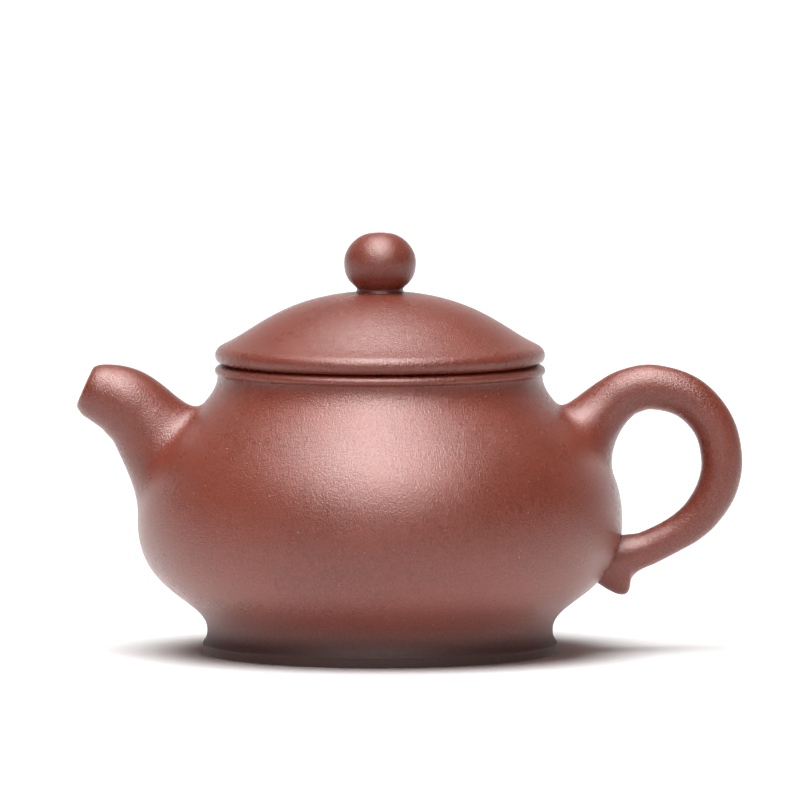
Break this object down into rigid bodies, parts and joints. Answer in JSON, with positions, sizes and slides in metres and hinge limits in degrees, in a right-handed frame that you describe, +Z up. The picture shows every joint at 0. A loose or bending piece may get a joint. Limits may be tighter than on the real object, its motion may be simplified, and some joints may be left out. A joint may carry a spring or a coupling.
{
  "type": "clay teapot",
  "caption": "Small round unglazed stoneware teapot with a short spout, ring handle, flat foot and lift-off domed lid with a ball knob.",
  "frame": {"origin": "centre of the foot's resting face, on the pot's turning axis", "axes": "+Z up, -X towards the spout, +X towards the handle"},
  "size_m": [0.1354, 0.0988, 0.0857],
  "materials": {
    "clay": "satin"
  },
  "bodies": {
    "pot": {"base_disc": "clay", "foot_ring": "clay", "belly_wall": "clay", "shoulder_disc": "clay", "neck_ring": "clay", "rim_bead": "clay", "spout": "clay", "strainer": "clay", "handle": "clay"},
    "lid": {"lid_disc": "clay", "lid_dome": "clay", "lid_flange": "clay", "knob": "clay"}
  },
  "joints": [
    {"name": "lid_lift", "type": "slide", "parent": "pot", "child": "lid", "axis": [0, 0, 1], "range_m": [0, 0.06]}
  ]
}
